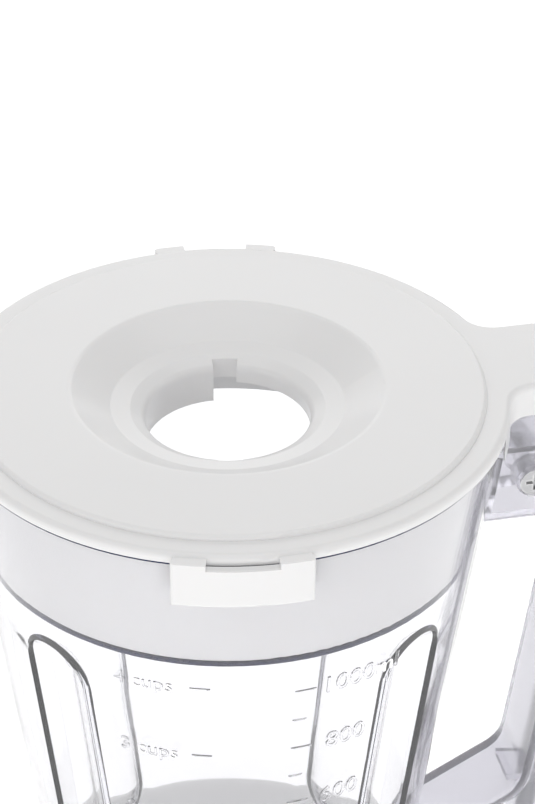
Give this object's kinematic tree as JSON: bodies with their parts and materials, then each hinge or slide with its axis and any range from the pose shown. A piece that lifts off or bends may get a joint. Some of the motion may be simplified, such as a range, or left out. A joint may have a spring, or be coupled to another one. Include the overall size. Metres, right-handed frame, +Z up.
{
  "type": "countertop blender",
  "caption": "Countertop blender with a clear handled jug, a white twist-lock lid with an open filler neck, a lift-out blade unit and a motor base with a speed knob.",
  "frame": {"origin": "on the drive axis, in the plane the rubber feet stand on", "axes": "+Z up, +X towards the handle, -Y towards the controls"},
  "size_m": [0.2, 0.2013, 0.3414],
  "materials": {
    "white_gloss": "satin",
    "clear_plastic": "gloss",
    "seal_rubber": "matte",
    "white_body": "satin",
    "grey_plastic": "matte",
    "dark_plastic": "matte",
    "black_rubber": "matte",
    "steel": "brushed",
    "bright_steel": "polished",
    "chrome_ring": "bright",
    "lamination": "stacked sheet",
    "copper": "enamelled wire",
    "bronze": "sintered",
    "aluminium": "cast",
    "carbon": "pressed",
    "board_green": "lacquered"
  },
  "bodies": {
    "base": {"base_housing": "white_body", "base_plate": "grey_plastic", "feet": "black_rubber", "base_screws": "steel", "seat_pad": "black_rubber", "well_seal": "black_rubber", "motor_bracket_upper": "aluminium", "motor_bracket_lower": "aluminium", "motor_bearings": "bright_steel", "stator_core": "lamination", "field_coils": "copper", "motor_bolts": "steel", "motor_spacers": "steel", "brush_holders": "bronze", "carbon_brushes": "carbon", "brush_springs": "steel", "motor_mounts": "black_rubber", "motor_mount_screws": "steel", "knob_bezel": "chrome_ring", "rotary_switch": "dark_plastic", "control_board": "board_green", "board_parts": "dark_plastic", "cord_gland": "black_rubber", "terminal_block": "white_body", "switch_bracket": "steel", "interlock_switch": "dark_plastic", "plunger_spring": "steel"},
    "drive": {"motor_shaft": "steel", "armature_core": "lamination", "armature_winding": "copper", "commutator": "copper", "cooling_fan": "dark_plastic", "base_coupling": "dark_plastic"},
    "knob": {"speed_knob": "white_body", "knob_pointer": "dark_plastic", "knob_spindle": "dark_plastic"},
    "plunger": {"interlock_plunger": "grey_plastic"},
    "jug_unit": {"jug": "clear_plastic", "handle_frame": "clear_plastic", "handle_cover": "clear_plastic", "handle_cover_screws": "steel", "handle_screws": "steel", "rod_spring": "steel", "blade_carrier": "grey_plastic", "blade_gasket": "seal_rubber", "blade_bushes": "bronze", "blade_shaft_seal": "black_rubber"},
    "collar": {"blade_collar": "white_gloss"},
    "blades": {"blade_shaft": "bright_steel", "shaft_clip": "steel", "blade_lower": "bright_steel", "blade_upper": "bright_steel", "blade_washers": "steel", "blade_nut": "bright_steel", "jug_coupling": "dark_plastic"},
    "lid_ring": {"lid_seal": "seal_rubber"},
    "lid_unit": {"lid": "white_gloss"},
    "rod": {"interlock_rod": "grey_plastic"}
  },
  "joints": [
    {"name": "jug_lift", "type": "slide", "parent": "base", "child": "jug_unit", "axis": [0, 0, 1], "range_m": [0, 0.07]},
    {"name": "drive_spin", "type": "hinge", "parent": "base", "child": "drive", "pos_m": [0, 0, 0.07], "axis": [0, 0, 1], "continuous": true},
    {"name": "blade_spin", "type": "hinge", "parent": "jug_unit", "child": "blades", "pos_m": [0, 0, 0.15], "axis": [0, 0, 1], "continuous": true},
    {"name": "knob_turn", "type": "hinge", "parent": "base", "child": "knob", "pos_m": [0, -0.09, 0.078], "axis": [0, -1, 0], "range_deg": [-120, 45]},
    {"name": "collar_turn", "type": "hinge", "parent": "jug_unit", "child": "collar", "pos_m": [0, 0, 0.14], "axis": [0, 0, 1], "range_deg": [0, 34]},
    {"name": "lid_lift", "type": "slide", "parent": "jug_unit", "child": "lid_ring", "axis": [0, 0, 1], "range_m": [0, 0.06]},
    {"name": "lid_turn", "type": "hinge", "parent": "lid_ring", "child": "lid_unit", "pos_m": [0, 0, 0.338], "axis": [0, 0, 1], "range_deg": [-14, 0]},
    {"name": "rod_rise", "type": "slide", "parent": "jug_unit", "child": "rod", "axis": [0.1279, 0, 0.9918], "range_m": [0, 0.0058], "deforming": ["rod_spring"]},
    {"name": "plunger_rise", "type": "slide", "parent": "base", "child": "plunger", "axis": [0, 0, 1], "range_m": [0, 0.004], "deforming": ["plunger_spring"]}
  ],
  "couplings": [
    {"joint": "blade_spin", "follows": "drive_spin", "ratio": 1},
    {"joint": "rod_rise", "follows": "lid_turn", "m_per_rad": -0.0233},
    {"joint": "plunger_rise", "follows": "lid_turn", "m_per_rad": -0.015}
  ]
}
